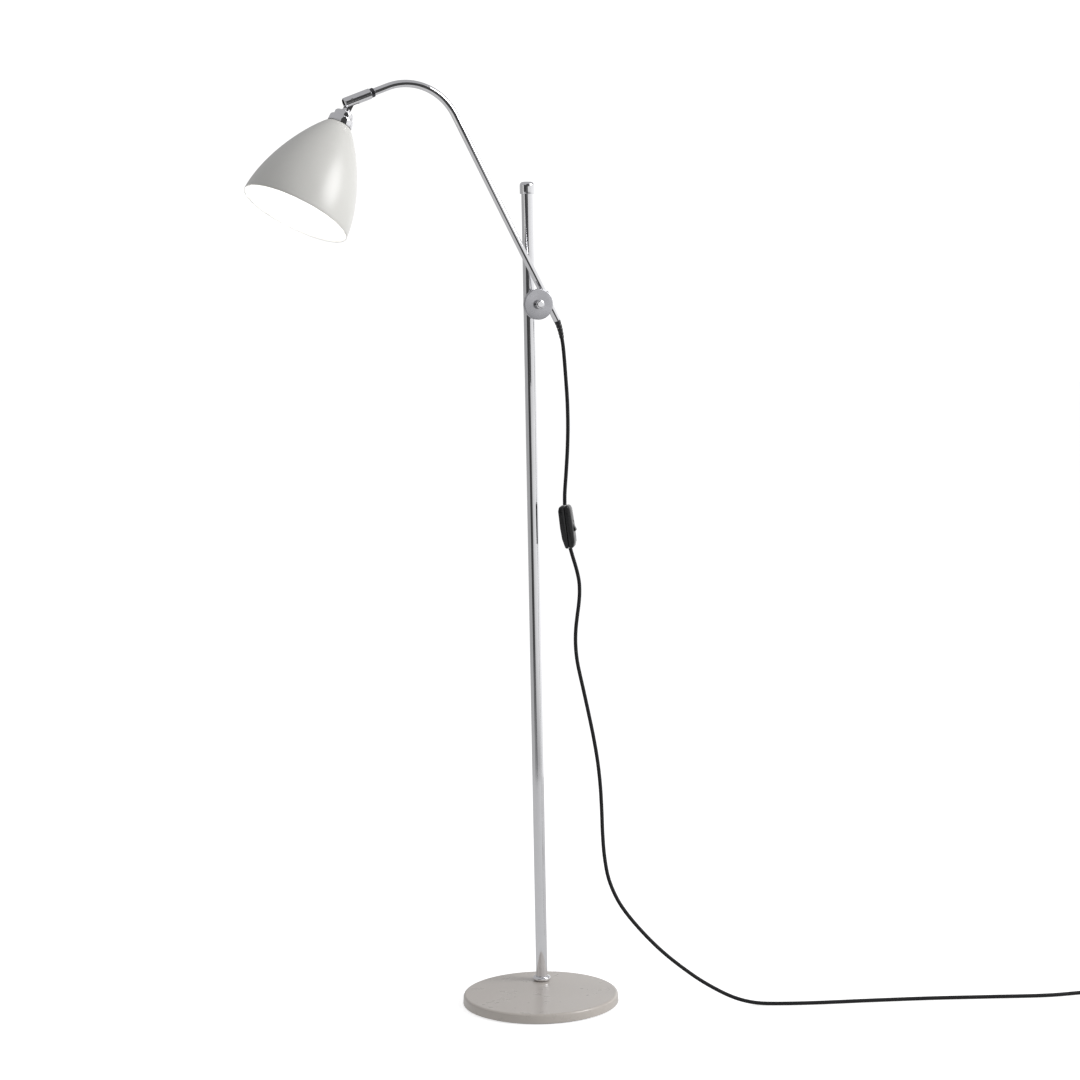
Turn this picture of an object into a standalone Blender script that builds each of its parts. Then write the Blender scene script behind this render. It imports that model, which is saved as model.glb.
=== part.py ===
"""Adjustable arm floor lamp, in metres, +Z up, origin on the pole's axis at floor level.

The arm lies in a plane parallel to XZ: its shade hangs on the -X side and the clamp's knob faces -Y.
"""
import math

import bmesh
import bpy
from mathutils import Matrix, Vector

GAP = 0.0003                      # clearance between pieces that meet

# Base: the pole stands off its centre
BASE_CENTRE = Vector((-0.0243, -0.0551, 0.0))
BASE_RADIUS = 0.108
BASE_HEIGHT = 0.0145
BASE_EDGE = 0.0035                # radius of the rounded top edge
COVER_WALL = 0.0012
WEIGHT_RADIUS = 0.1058
PAD_RADIUS = 0.103
PAD_THICK = 0.0015
BOLT_RADIUS = 0.0039
BOLT_TOP = 0.038
BOLT_HEAD = (0.0072, 0.0044)      # radius and height of its hexagonal head
WASHER_RADIUS = 0.0095
RECESS_RADIUS = 0.0110            # pocket under the weight for the bolt's head and washer
RECESS_DEPTH = 0.0064
INSERT_TOP = 0.045

# Pole
POLE_RADIUS = 0.008
POLE_WALL = 0.0012
POLE_TOP = 1.1275
CAP_RADIUS = 0.010
CAP_SKIRT = 0.010                 # how far the cap reaches down over the pole
CAP_CROWN = 0.0065                # how far the cap stands above the pole
COLLAR_RADIUS = 0.0126
COLLAR_HEIGHT = 0.006

# Clamp: its parts are placed along the stud, measured from the pole's axis
CLAMP_Z = 0.9675
LINER_INNER = 0.0082
LINER_OUTER = 0.0086
RING_INNER = 0.0088
RING_OUTER = 0.0098
CLAMP_HALF = 0.0095               # half the height of the ring and its liner
OPENING_AT = math.radians(158.0)  # both are C-shaped: middle and half of their opening
OPENING_HALF = math.radians(40.0)
BOSS_RADIUS = 0.009
BOSS_FACE = 0.0140
STUD_RADIUS = 0.003
STUD_HOLE = 0.0033
REAR_WASHER = (0.0143, 0.0151)
HOLDER_SPAN = (0.0154, 0.0280)
SPRING_SPAN = (0.0283, 0.0294)
DISC_SPAN = (0.0297, 0.0357)
DISC_RADIUS = 0.021
NUT_SPAN = (0.0360, 0.0430)
NUT_RADIUS = 0.0062
STUD_END = 0.0382

# Arm: a straight stretch beside the stud, then one bend down to the shade
ARM_OFFSET = 0.0212               # from the pole's axis to the arm's plane
ARM_RADIUS = 0.005
ARM_WALL = 0.001
ARM_ANGLE = math.radians(62.8)    # of the straight stretch above the horizontal
BEND_RADIUS = 0.077
BEND_X = -0.179                   # centre of the bend
BEND_Z = 1.1871
ARM_STRAIGHT = 0.3125             # from the bend to the tail
TIP_ANGLE = math.radians(20.0)    # how far the tip slopes down past the bend's top
SLEEVE_RADIUS = 0.0072
SLEEVE_HALF = 0.007

# Tip: distances are measured along the tube from the end of the bend
COLLAR_SPAN = (0.0204, 0.0256)
SOCKET_SPAN = (0.0259, 0.0646)
SOCKET_RADIUS = 0.0073
SOCKET_BORE = 0.0053
TUBE_END = 0.036
LOCK_AT = 0.0310                  # the socket's grub screw
HINGE_AT = 0.0540                 # the shade's hinge pin
PIN_RADIUS = 0.0016
SLOT_HALF = 0.0039
SLOT_BACK = 0.0085                # how far the slot reaches behind the pin
SOCKET_TURN = math.radians(9.9)   # the socket's turn about the tube, towards -Y
HEAD_ANGLE = math.radians(39.9)   # between the tube's tip and the shade's axis

# Shade and lampholder: distances are measured along the shade's axis from the hinge
EYE_RADIUS = 0.0052
TONGUE_HALF = 0.0036
TONGUE_END = 0.0134
STEM_RADIUS = 0.0054
STEM_END = 0.0258
CAP_TOP = 0.0185
CAP_STEP = 0.0268
CAP_RADII = (0.0134, 0.0171)
CAP_WALL = 0.0013
SHADE_TOP = 0.0370
SHADE_RIM = 0.1719
SHADE_RADIUS = 0.0739
SHADE_NECK = 0.0162
SHADE_HOLE = 0.0072
SHADE_WALL = 0.0011
SHADE_POWERS = (1.675, 1.117)     # shape of the bell between neck and rim

# Cord
CORD_RADIUS = 0.0026
FLOOR_Z = CORD_RADIUS + 0.0001
COIL_RADIUS = 0.030               # to the middle of the turns
COIL_CENTRE = Vector((0.699, -0.390, 0.0))
COIL_START = math.radians(73.0)   # where on its circle the cord reaches the coil
CORD_STEP = 0.0165                # spacing of the points along a cord
CORD_SPLIT = 0.45                 # height where the stretch that swivels ends

# Inline switch
SWITCH_TOP = Vector((0.0352, -0.0300, 0.6900))
SWITCH_BOTTOM = Vector((0.0410, -0.0330, 0.6310))
SWITCH_FACE = math.radians(-30.0)  # which way its rocker faces, from +X
SWITCH_WIDTH = 0.026
SWITCH_WALL = 0.0018
ROCKER_LENGTH = 0.015
ROCKER_WIDTH = 0.0096
ROCKER_DEPTH = 0.0075             # of its pin, from the middle of the switch

PLUG_SIZE = Vector((0.0353, 0.037, 0.0137))

PAINT = ((0.52, 0.50, 0.47), 0.25, 0.0)
ENAMEL = ((0.80, 0.80, 0.77), 0.2, 0.0)
CHROME = ((0.80, 0.80, 0.82), 0.08, 1.0)
SATIN = ((0.62, 0.62, 0.64), 0.28, 1.0)
STEEL = ((0.45, 0.45, 0.46), 0.4, 1.0)
IRON = ((0.10, 0.10, 0.10), 0.7, 0.6)
BRASS = ((0.72, 0.52, 0.22), 0.3, 1.0)
BLACK = ((0.02, 0.02, 0.02), 0.45, 0.0)
FELT = ((0.06, 0.06, 0.06), 0.95, 0.0)
NYLON = ((0.75, 0.74, 0.70), 0.5, 0.0)
CERAMIC = ((0.85, 0.84, 0.80), 0.35, 0.0)
GLASS = ((0.95, 0.95, 0.93), 0.1, 0.0)


def clear_scene():
    for item in list(bpy.data.objects):
        bpy.data.objects.remove(item, do_unlink=True)


def paint(item, finish):
    colour, roughness, metallic = finish
    material = bpy.data.materials.new(item.name)
    material.use_nodes = True
    shader = material.node_tree.nodes["Principled BSDF"]
    shader.inputs["Base Color"].default_value = (*colour, 1.0)
    shader.inputs["Roughness"].default_value = roughness
    shader.inputs["Metallic"].default_value = metallic
    item.data.materials.append(material)


def axis_frame(name, origin, z_axis, x_axis, parent=None):
    """An empty whose local Z is z_axis and whose local X is as near x_axis as it can be, in world terms."""
    z = Vector(z_axis).normalized()
    x = (Vector(x_axis) - Vector(x_axis).dot(z) * z).normalized()
    y = z.cross(x)
    world = Matrix((x, y, z)).transposed().to_4x4()
    world.translation = Vector(origin)
    empty = bpy.data.objects.new(name, None)
    bpy.context.collection.objects.link(empty)
    empty.parent = parent
    base = frame_matrices[parent.name] if parent else Matrix.Identity(4)
    empty.matrix_local = base.inverted() @ world
    frame_matrices[name] = world
    return empty


frame_matrices = {}


def add_mesh(name, bm, parent, finish, smooth=True):
    bmesh.ops.recalc_face_normals(bm, faces=bm.faces)
    mesh = bpy.data.meshes.new(name)
    bm.to_mesh(mesh)
    bm.free()
    if smooth:
        mesh.shade_smooth()
        mesh.set_sharp_from_angle(angle=math.radians(35))
    item = bpy.data.objects.new(name, mesh)
    bpy.context.collection.objects.link(item)
    item.parent = parent
    if finish:
        paint(item, finish)
    return item


def turned_mesh(profile, segments, closed):
    """A bmesh of a profile of (radius, height) points turned about Z. A closed profile is a ring's section."""
    bm = bmesh.new()
    verts = [bm.verts.new((radius, 0.0, height)) for radius, height in profile]
    pairs = list(zip(verts, verts[1:]))
    if closed:
        pairs.append((verts[-1], verts[0]))
    edges = [bm.edges.new(pair) for pair in pairs]
    bmesh.ops.spin(bm, geom=verts + edges, cent=(0, 0, 0), axis=(0, 0, 1),
                   angle=2 * math.pi, steps=segments, use_merge=True)
    bmesh.ops.remove_doubles(bm, verts=bm.verts, dist=1e-6)
    return bm


def turned(name, profile, parent, finish, segments=32, closed=None):
    if closed is None:
        closed = min(radius for radius, _ in profile) > 0
    return add_mesh(name, turned_mesh(profile, segments, closed), parent, finish)


def tube_profile(inner, outer, low, high):
    return [(outer, high), (outer, low), (inner, low), (inner, high)]


def arc(centre, radius, start, end, steps):
    """Points on an arc in a profile's plane, angles in degrees from the +radius direction."""
    angles = [math.radians(start + (end - start) * i / steps) for i in range(steps + 1)]
    return [(centre[0] + radius * math.cos(a), centre[1] + radius * math.sin(a)) for a in angles]


def rod_mesh(bm, radius, start, end, segments):
    """Adds a cylinder between two points to bm."""
    start, end = Vector(start), Vector(end)
    axis = end - start
    turn = axis.to_track_quat("Z", "Y").to_matrix().to_4x4()
    place = Matrix.Translation((start + end) / 2) @ turn
    bmesh.ops.create_cone(bm, cap_ends=True, segments=segments, radius1=radius, radius2=radius,
                          depth=axis.length, matrix=place)


def rod(name, radius, start, end, parent, finish, segments=20):
    bm = bmesh.new()
    rod_mesh(bm, radius, start, end, segments)
    return add_mesh(name, bm, parent, finish)


def box_mesh(bm, low, high):
    low, high = Vector(low), Vector(high)
    size = Matrix.Diagonal((*(high - low), 1.0))
    bmesh.ops.create_cube(bm, size=1.0, matrix=Matrix.Translation((low + high) / 2) @ size)


def block(name, low, high, parent, finish=None, bevel=0.0, segments=2):
    bm = bmesh.new()
    box_mesh(bm, low, high)
    item = add_mesh(name, bm, parent, finish, smooth=False)
    if bevel:
        modifier = item.modifiers.new("Rounding", "BEVEL")
        modifier.width = bevel
        modifier.segments = segments
    return item


def combine(item, other, operation):
    """A Boolean of item with other, which becomes a hidden guide."""
    modifier = item.modifiers.new(operation.title(), "BOOLEAN")
    modifier.operation = operation
    modifier.object = other
    modifier.solver = "EXACT"
    other.hide_render = True
    other.display_type = "WIRE"
    return item


def cut_rod(item, radius, start, end, segments=24):
    cutter = rod(item.name + "_hole", radius, start, end, item.parent, None, segments)
    return combine(item, cutter, "DIFFERENCE")


def smooth_route(points, step):
    """Evenly spaced points on a smooth curve through the given ones."""
    points = [Vector(p) for p in points]
    ends = [points[0] * 2 - points[1], *points, points[-1] * 2 - points[-2]]
    fine = []
    for before, a, b, after in zip(ends, ends[1:], ends[2:], ends[3:]):
        span = (b - a).length
        leave = (b - before) * span / ((b - a).length + (a - before).length)
        arrive = (after - a) * span / ((b - a).length + (after - b).length)
        for i in range(24):
            t = i / 24
            fine.append(a * (2 * t**3 - 3 * t**2 + 1) + leave * (t**3 - 2 * t**2 + t)
                        + b * (3 * t**2 - 2 * t**3) + arrive * (t**3 - t**2))
    fine.append(points[-1])
    lengths = [0.0]
    for a, b in zip(fine, fine[1:]):
        lengths.append(lengths[-1] + (b - a).length)
    count = max(2, round(lengths[-1] / step))
    route, k = [], 0
    for i in range(count + 1):
        goal = lengths[-1] * i / count
        while k < len(fine) - 2 and lengths[k + 1] < goal:
            k += 1
        share = (goal - lengths[k]) / (lengths[k + 1] - lengths[k])
        route.append(fine[k].lerp(fine[k + 1], share))
    return route


def tube_along(name, route, radius, parent, finish, resolution=2, caps=True, tapers=None):
    """A POLY curve with a round section. tapers gives a share of the radius for each point."""
    curve = bpy.data.curves.new(name, "CURVE")
    curve.dimensions = "3D"
    curve.bevel_depth = radius
    curve.bevel_resolution = resolution
    curve.use_fill_caps = caps
    spline = curve.splines.new("POLY")
    spline.points.add(len(route) - 1)
    for i, place in enumerate(route):
        spline.points[i].co = (*place, 1.0)
        spline.points[i].radius = tapers[i] if tapers else 1.0
    item = bpy.data.objects.new(name, curve)
    bpy.context.collection.objects.link(item)
    item.parent = parent
    paint(item, finish)
    return item


# Base and pole -------------------------------------------------------------------------------

def base():
    low = PAD_THICK + GAP
    bore = BOLT_RADIUS + 2 * GAP
    recess = low + RECESS_DEPTH
    weight_top = BASE_HEIGHT - COVER_WALL - 2 * GAP
    pad = turned("foot_pad", [(0, PAD_THICK), (PAD_RADIUS, PAD_THICK), (PAD_RADIUS, 0), (0, 0)],
                 None, FELT, 56)
    edge = arc((WEIGHT_RADIUS - BASE_EDGE, weight_top - BASE_EDGE), BASE_EDGE, 90, 0, 1)
    weight = turned("base_weight", [(0, weight_top), *edge, (WEIGHT_RADIUS, low), (0, low)], None, IRON, 48)
    top_edge = arc((BASE_RADIUS - 0.0006 - BASE_EDGE, BASE_HEIGHT - BASE_EDGE), BASE_EDGE, 90, 0, 3)
    inner, ceiling = BASE_RADIUS - COVER_WALL, BASE_HEIGHT - COVER_WALL
    cover = turned("base_cover",
                   [(0, BASE_HEIGHT), *top_edge, (BASE_RADIUS, low), (inner, low),
                    (inner - 0.0004, ceiling - 0.003), (inner - 0.0028, ceiling), (0, ceiling)],
                   None, PAINT, 64)
    for item in (pad, weight, cover):
        item.location = BASE_CENTRE
    cut_rod(weight, bore, (0, 0, 0), (0, 0, BASE_HEIGHT))
    cut_rod(weight, RECESS_RADIUS, (0, 0, 0), (0, 0, recess), 32)
    cut_rod(cover, bore, (0, 0, low), (0, 0, BASE_HEIGHT + low))

    head_radius, head_height = BOLT_HEAD
    head_low = low + GAP
    head_top = head_low + head_height
    turned("base_washer", tube_profile(BOLT_RADIUS + GAP, WASHER_RADIUS, head_top + GAP, recess - GAP),
           None, STEEL, 24)
    bm = bmesh.new()
    rod_mesh(bm, head_radius, (0, 0, head_low), (0, 0, head_top), 6)
    bolt = add_mesh("base_bolt", bm, None, STEEL, smooth=False)
    shank = rod("base_bolt_shank", BOLT_RADIUS, (0, 0, head_top - 0.001), (0, 0, BOLT_TOP), None, None, 16)
    combine(bolt, shank, "UNION")


def pole():
    foot = BASE_HEIGHT + GAP
    turned("pole_insert", tube_profile(BOLT_RADIUS + GAP, POLE_RADIUS - POLE_WALL - GAP, foot, INSERT_TOP),
           None, STEEL, 24)
    turned("pole", tube_profile(POLE_RADIUS - POLE_WALL, POLE_RADIUS, foot, POLE_TOP), None, CHROME, 40)
    half = COLLAR_HEIGHT / 2
    bulge = arc((COLLAR_RADIUS - half, foot + half), half, 90, -90, 6)
    turned("pole_collar", [(POLE_RADIUS + GAP, foot + COLLAR_HEIGHT), *bulge, (POLE_RADIUS + GAP, foot)],
           None, CHROME, 40)
    low, top = POLE_TOP - CAP_SKIRT, POLE_TOP + CAP_CROWN
    shoulder = arc((CAP_RADIUS - 0.005, top - 0.005), 0.005, 88, 0, 4)
    plug = POLE_RADIUS - POLE_WALL - GAP
    turned("pole_cap",
           [(0, top), *shoulder, (CAP_RADIUS, low + 0.003), (CAP_RADIUS - 0.0006, low),
            (POLE_RADIUS + GAP, low), (POLE_RADIUS + GAP, POLE_TOP + GAP), (plug, POLE_TOP + GAP),
            (plug, low + 0.001), (0, low + 0.001)],
           None, CHROME, 36, closed=False)


# Clamp ---------------------------------------------------------------------------------------

def cut_opening(item):
    """Opens a collar round the pole on the side that faces away from the arm's knob."""
    bm = bmesh.new()
    corners = [(0.0, OPENING_AT), (0.03, OPENING_AT - OPENING_HALF), (0.03, OPENING_AT + OPENING_HALF)]
    face = bm.faces.new([bm.verts.new((r * math.cos(a), r * math.sin(a), -0.02)) for r, a in corners])
    swept = bmesh.ops.extrude_face_region(bm, geom=[face])
    bmesh.ops.translate(bm, verts=[v for v in swept["geom"] if isinstance(v, bmesh.types.BMVert)],
                        vec=(0, 0, 0.04))
    wedge = add_mesh(item.name + "_opening", bm, item.parent, None, smooth=False)
    combine(item, wedge, "DIFFERENCE")


def clamp(slide_frame, swivel_frame, stud_frame):
    liner = turned("slide_liner", tube_profile(LINER_INNER, LINER_OUTER, -CLAMP_HALF, CLAMP_HALF),
                   slide_frame, NYLON, 40)
    cut_opening(liner)
    ring = turned("clamp_ring", tube_profile(RING_INNER, RING_OUTER, -CLAMP_HALF, CLAMP_HALF),
                  swivel_frame, CHROME, 40)
    boss = rod("clamp_ring_boss", BOSS_RADIUS, (0, -0.0040, 0), (0, -BOSS_FACE, 0), swivel_frame, None, 28)
    combine(ring, boss, "UNION")
    cut_rod(ring, RING_INNER, (0, 0, -0.02), (0, 0, 0.02), 40)
    cut_opening(ring)
    bore = rod("clamp_ring_bore", STUD_HOLE, (0, -0.004, 0), (0, -0.02, 0), swivel_frame, None, 24)
    combine(ring, bore, "DIFFERENCE")
    rod("pressure_pad", STUD_RADIUS, (0, 0, LINER_OUTER + GAP), (0, 0, 0.0102), stud_frame, BRASS, 20)
    rod("clamp_stud", STUD_RADIUS, (0, 0, 0.0105), (0, 0, STUD_END), stud_frame, STEEL, 20)
    turned("rear_washer", tube_profile(STUD_HOLE, BOSS_RADIUS, *REAR_WASHER), stud_frame, BLACK, 28)


def knob(stud_frame):
    low, high = DISC_SPAN
    edge = 0.0008
    turned("clamp_disc",
           [(STUD_HOLE, high), (DISC_RADIUS - edge, high), (DISC_RADIUS, high - edge),
            (DISC_RADIUS, low + edge), (DISC_RADIUS - edge, low), (STUD_HOLE, low)],
           stud_frame, SATIN, 64)
    low, high = NUT_SPAN
    dome = arc((NUT_RADIUS - 0.003, high - 0.003), 0.003, 88, 0, 4)
    turned("cap_nut",
           [(0, high), *dome, (NUT_RADIUS, low), (STUD_HOLE, low), (STUD_HOLE, STUD_END + GAP),
            (0, STUD_END + GAP)],
           stud_frame, CHROME, 32, closed=False)


# Arm -----------------------------------------------------------------------------------------

BEND_CENTRE = Vector((BEND_X, -ARM_OFFSET, BEND_Z))
ALONG_ARM = Vector((math.cos(ARM_ANGLE), 0, -math.sin(ARM_ANGLE)))
BEND_START = BEND_CENTRE + BEND_RADIUS * Vector((math.sin(ARM_ANGLE), 0, math.cos(ARM_ANGLE)))
TAIL = BEND_START + ARM_STRAIGHT * ALONG_ARM
TIP_AXIS = Vector((-math.cos(TIP_ANGLE), 0, -math.sin(TIP_ANGLE)))
BEND_END = BEND_CENTRE + BEND_RADIUS * Vector((-math.sin(TIP_ANGLE), 0, math.cos(TIP_ANGLE)))


def arm_path(tail, tip):
    """Points on the arm's centre line, from its tail to a point past the bend."""
    steps = 20
    sweep = ARM_ANGLE + TIP_ANGLE
    path = [tail]
    for i in range(steps + 1):
        angle = ARM_ANGLE - sweep * i / steps
        path.append(BEND_CENTRE + BEND_RADIUS * Vector((math.sin(angle), 0, math.cos(angle))))
    path.append(BEND_END + tip * TIP_AXIS)
    return path


def arm(stud_frame):
    """The holder, the tube in it and what the tube carries. Points are in the stud's frame."""
    to_stud = frame_matrices[stud_frame.name].inverted()
    path = [to_stud @ p for p in arm_path(TAIL, TUBE_END)]
    tube = tube_along("arm_tube", path, ARM_RADIUS, stud_frame, CHROME, resolution=8, caps=False)
    shell = tube.modifiers.new("Wall", "SOLIDIFY")
    shell.thickness = ARM_WALL
    shell.offset = -1.0
    inner = [to_stud @ p for p in arm_path(TAIL - 0.009 * ALONG_ARM, HINGE_AT - 0.0075)]
    tube_along("inner_cable", inner, 0.0022, stud_frame, BLACK, resolution=2)

    low, high = HOLDER_SPAN
    along = (path[0] - path[1]).normalized()
    nearest = path[0] - (path[0] - Vector((0, 0, path[0].z))).dot(along) * along
    across = nearest - Vector((0, 0, nearest.z))
    holder = turned("arm_holder",
                    [(0, high), (BOSS_RADIUS - 0.0005, high), (BOSS_RADIUS, high - 0.0005),
                     (BOSS_RADIUS, low), (0, low)], stud_frame, CHROME, 32)
    sleeve = rod("arm_holder_sleeve", SLEEVE_RADIUS, nearest - SLEEVE_HALF * along,
                 nearest + SLEEVE_HALF * along, stud_frame, None, 32)
    web = block("arm_holder_web", (0, -SLEEVE_HALF + 0.0004, low + 0.0016),
                (across.length, SLEEVE_HALF - 0.0004, high - 0.0016), stud_frame)
    web.rotation_euler.z = math.atan2(across.y, across.x)
    combine(holder, web, "UNION")
    combine(holder, sleeve, "UNION")
    reach = 0.012
    cut_rod(holder, ARM_RADIUS + GAP, nearest - reach * along, nearest + reach * along, 32)
    cutter = rod("arm_holder_bore", STUD_HOLE, (0, 0, low - 0.002), (0, 0, high + 0.002), stud_frame, None, 24)
    combine(holder, cutter, "DIFFERENCE")
    screw_low, screw_high = nearest.z - 0.0085, nearest.z - ARM_RADIUS - GAP
    grub = rod("arm_holder_tapping", 0.0018, (nearest.x, nearest.y, screw_low - 0.001),
               (nearest.x, nearest.y, screw_high + 0.001), stud_frame, None, 16)
    combine(holder, grub, "DIFFERENCE")
    rod("holder_screw", 0.0015, (nearest.x, nearest.y, screw_low + 0.0015),
        (nearest.x, nearest.y, screw_high), stud_frame, STEEL, 12)

    low, high = SPRING_SPAN
    turned("spring_washer", [(STUD_HOLE, high), (0.0078, low + 0.0005), (0.0078, low), (STUD_HOLE, high - 0.0005)],
           stud_frame, STEEL, 28)


def cord_boot(stud_frame):
    """Strain relief: a plug in the arm's tail and a tapered sleeve that bends with the cord."""
    to_stud = frame_matrices[stud_frame.name].inverted()
    sleeve = upper_cord()[:BOOT_POINTS]
    axis = (sleeve[1] - sleeve[0]).normalized()
    route = [TAIL - 0.0085 * ALONG_ARM, TAIL + GAP * ALONG_ARM, TAIL + 0.0004 * ALONG_ARM,
             TAIL + 0.0020 * axis, *sleeve[1:]]
    plug_share, shoulder, end = 0.0037, 0.0045, 0.0032
    radii = [plug_share, plug_share, shoulder, shoulder]
    radii += [shoulder + (end - shoulder) * i / (BOOT_POINTS - 1) for i in range(1, BOOT_POINTS)]
    tube_along("cord_boot", [to_stud @ p for p in route], 1.0, stud_frame, BLACK, resolution=3, tapers=radii)


# Tip: socket, hinge and shade -----------------------------------------------------------------

def tip(tip_frame, stud_frame):
    low, high = COLLAR_SPAN
    collar = turned("tip_collar",
                    [(0.0058, high), (0.0062, high - 0.0005), (0.0062, low + 0.0005), (0.0058, low),
                     (ARM_RADIUS + GAP, low), (ARM_RADIUS + GAP, high)],
                    tip_frame, CHROME, 28)
    place_in(collar, stud_frame)

    low, high = SOCKET_SPAN
    edge = arc((SOCKET_RADIUS - 0.0015, high - 0.0015), 0.0015, 90, 0, 3)
    socket = turned("tip_socket",
                    [(0, high), *edge, (SOCKET_RADIUS, low + 0.0004), (SOCKET_RADIUS - 0.0004, low), (0, low)],
                    tip_frame, CHROME, 32)
    cut_rod(socket, SOCKET_BORE, (0, 0, low - 0.002), (0, 0, TUBE_END + 0.002), 28)
    slot = block("tip_socket_slot", (-EYE_RADIUS - GAP, -SLOT_HALF, HINGE_AT - SLOT_BACK),
                 (0.012, SLOT_HALF, high + 0.004), tip_frame)
    combine(socket, slot, "DIFFERENCE")
    passage = rod("tip_socket_passage", 0.0026, (0, 0, TUBE_END), (0, 0, HINGE_AT), tip_frame, None, 16)
    combine(socket, passage, "DIFFERENCE")
    pin = rod("tip_socket_pin_hole", PIN_RADIUS + GAP, (0, -0.010, HINGE_AT), (0, 0.010, HINGE_AT),
              tip_frame, None, 16)
    combine(socket, pin, "DIFFERENCE")
    tapping = rod("tip_socket_tapping", 0.0017, (-0.012, 0, LOCK_AT), (0, 0, LOCK_AT), tip_frame, None, 16)
    combine(socket, tapping, "DIFFERENCE")
    rod("hinge_pin", PIN_RADIUS, (0, -0.0069, HINGE_AT), (0, 0.0069, HINGE_AT), tip_frame, STEEL, 16)
    rod("socket_screw", 0.0014, (-0.0069, 0, LOCK_AT), (-SOCKET_BORE - 0.0001, 0, LOCK_AT),
        tip_frame, STEEL, 12)


def place_in(item, frame):
    """Moves item to another parent frame without moving it in the world."""
    change = frame_matrices[frame.name].inverted() @ frame_matrices[item.parent.name]
    item.parent = frame
    item.matrix_local = change


def shade_radius(share):
    """Outer radius of the bell at a share of the way from neck to rim."""
    first, second = SHADE_POWERS
    return SHADE_NECK + (SHADE_RADIUS - SHADE_NECK) * (1 - (1 - share) ** first) ** (1 / second)


def shade(head_frame):
    steps = 12
    shares = [(i / steps) ** 1.5 for i in range(steps + 1)]
    height = SHADE_RIM - SHADE_TOP
    outer = [(shade_radius(s), SHADE_TOP + height * s) for s in shares]
    inner = []
    for (r0, z0), (r1, z1), (r2, z2) in zip(outer[:1] + outer, outer, outer[1:] + outer[-1:]):
        slope = Vector((r2 - r0, z2 - z0)).normalized()
        inner.append((r1 - SHADE_WALL * slope.y, z1 + SHADE_WALL * slope.x))
    inner[:1] = [(SHADE_HOLE, SHADE_TOP + SHADE_WALL), (SHADE_NECK - 0.0008, SHADE_TOP + SHADE_WALL)]
    inner[-1] = (SHADE_RADIUS - SHADE_WALL, SHADE_RIM)
    turned("shade", [*inner, *outer[::-1], (SHADE_HOLE, SHADE_TOP)], head_frame, ENAMEL, 60)


def lampholder(head_frame):
    eye = rod("shade_stem", EYE_RADIUS, (0, -TONGUE_HALF, 0), (0, TONGUE_HALF, 0), head_frame, CHROME, 28)
    tongue = block("shade_stem_tongue", (-EYE_RADIUS, -TONGUE_HALF, 0),
                   (EYE_RADIUS, TONGUE_HALF, TONGUE_END + 0.001), head_frame)
    combine(eye, tongue, "UNION")
    shank = rod("shade_stem_shank", STEM_RADIUS, (0, 0, TONGUE_END), (0, 0, STEM_END), head_frame, None, 28)
    combine(eye, shank, "UNION")
    cut_rod(eye, PIN_RADIUS + GAP, (0, -0.010, 0), (0, 0.010, 0), 16)

    bore = STEM_RADIUS + GAP
    small, large = CAP_RADII
    foot = SHADE_TOP - GAP
    plate = CAP_TOP + 0.0022
    shoulder = arc((small - 0.003, CAP_TOP + 0.003), 0.003, 270, 360, 3)
    step = arc((large - 0.002, CAP_STEP + 0.002), 0.002, 270, 360, 3)
    turned("holder_cap",
           [(bore, CAP_TOP), *shoulder, (small, CAP_STEP), *step, (large, foot), (large - CAP_WALL, foot),
            (large - CAP_WALL, CAP_STEP + 0.003), (small - CAP_WALL, CAP_STEP + CAP_WALL),
            (small - CAP_WALL, plate), (bore, plate)],
           head_frame, CHROME, 40)
    turned("stem_nut", tube_profile(0.0066, 0.0094, plate + GAP, plate + 0.0033), head_frame, STEEL, 6)
    turned("lampholder",
           [(0, STEM_END + 0.001), (SHADE_HOLE - GAP, STEM_END + 0.001),
            (SHADE_HOLE - GAP, SHADE_TOP + SHADE_WALL + GAP), (0.0125, SHADE_TOP + SHADE_WALL + GAP),
            (0.0130, SHADE_TOP + 0.004), (0.0130, SHADE_TOP + 0.028), (0.0080, SHADE_TOP + 0.028),
            (0.0080, SHADE_TOP + 0.010), (0, SHADE_TOP + 0.010)],
           head_frame, CERAMIC, 32, closed=False)
    turned("lampholder_ring", tube_profile(0.0133, 0.0165, SHADE_TOP + 0.0120, SHADE_TOP + 0.0155),
           head_frame, BLACK, 32)
    contact = SHADE_TOP + 0.0100 + GAP
    rod("lampholder_contact", 0.0025, (0, 0, contact), (0, 0, contact + 0.0015), head_frame, BRASS, 16)
    low, high = contact + 0.0018, contact + 0.0185
    turned("bulb_cap", [(0, low), (0.004, low), (0.0070, low + 0.004), (0.0070, high), (0, high)],
           head_frame, BRASS, 24)
    middle, globe = high + 0.0300, 0.0190
    turned("bulb_glass",
           [(0, high + GAP), (0.0068, high + GAP), (0.0070, high + 0.008),
            *arc((0.0, middle), globe, -68, 82, 9), (0, middle + globe)],
           head_frame, GLASS, 24)


# Cord ----------------------------------------------------------------------------------------

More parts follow.
